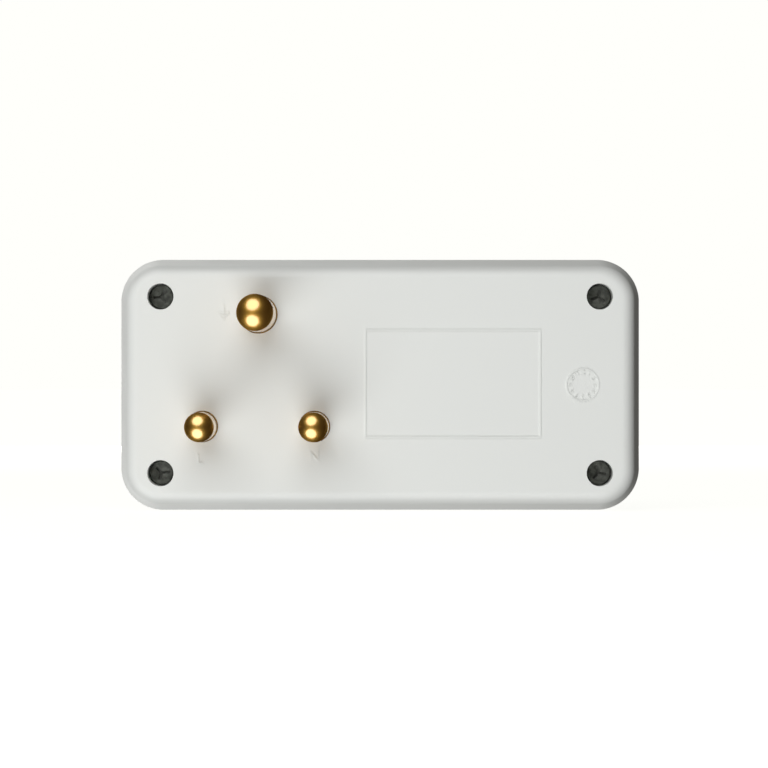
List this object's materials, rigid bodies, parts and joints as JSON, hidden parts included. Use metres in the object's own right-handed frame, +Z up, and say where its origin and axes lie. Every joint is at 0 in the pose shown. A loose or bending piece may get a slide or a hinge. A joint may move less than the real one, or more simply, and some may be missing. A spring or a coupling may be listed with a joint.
{
  "type": "multi socket adapter",
  "caption": "Plug-in multi outlet adapter: a flat white box on three round brass pins, with round three-pin outlets and a two-pin outlet on its front.",
  "frame": {"origin": "centre of the flat wall face", "axes": "+X along the length, to the right seen from behind; +Y from the wall face into the box, against the pins; +Z up, towards the earth pin"},
  "size_m": [0.1258, 0.0666, 0.0608],
  "materials": {
    "housing_plastic": "satin moulded grey-white plastic",
    "front_plastic": "satin moulded grey-white plastic",
    "pin_brass": "turned and polished brass",
    "rivet_brass": "plain turned brass",
    "strip_brass": "rolled brass strip",
    "shutter_plastic": "plain moulded plastic",
    "spring_steel": "bright spring wire",
    "screw_black": "black-oxide steel"
  },
  "bodies": {
    "housing": {"rear_cover": "housing_plastic", "front_housing": "front_plastic", "live_pin": "pin_brass", "neutral_pin": "pin_brass", "earth_pin": "pin_brass", "live_rivet": "rivet_brass", "neutral_rivet": "rivet_brass", "earth_rivet": "rivet_brass", "two_pin_live_rivet": "rivet_brass", "two_pin_neutral_rivet": "rivet_brass", "earth_bar": "strip_brass", "live_bar": "strip_brass", "neutral_bar": "strip_brass", "live_contact_a": "strip_brass", "neutral_contact_a": "strip_brass", "earth_contact_a": "strip_brass", "live_contact_b": "strip_brass", "neutral_contact_b": "strip_brass", "earth_contact_b": "strip_brass", "two_pin_live_contact": "strip_brass", "two_pin_neutral_contact": "strip_brass", "shutter_spring_a": "spring_steel", "shutter_spring_b": "spring_steel", "cover_screw_1": "screw_black", "cover_screw_2": "screw_black", "cover_screw_3": "screw_black", "cover_screw_4": "screw_black"},
    "shutter_a": {"shutter_a": "shutter_plastic"},
    "shutter_b": {"shutter_b": "shutter_plastic"}
  },
  "joints": [
    {"name": "shutter_a_slide", "type": "slide", "parent": "housing", "child": "shutter_a", "axis": [0, 0, -1], "range_m": [0, 0.009], "stiffness_N_per_m": 80, "springref_m": -0.004, "deforming": ["shutter_spring_a"]},
    {"name": "shutter_b_slide", "type": "slide", "parent": "housing", "child": "shutter_b", "axis": [0, 0, -1], "range_m": [0, 0.009], "stiffness_N_per_m": 80, "springref_m": -0.004, "deforming": ["shutter_spring_b"]}
  ]
}
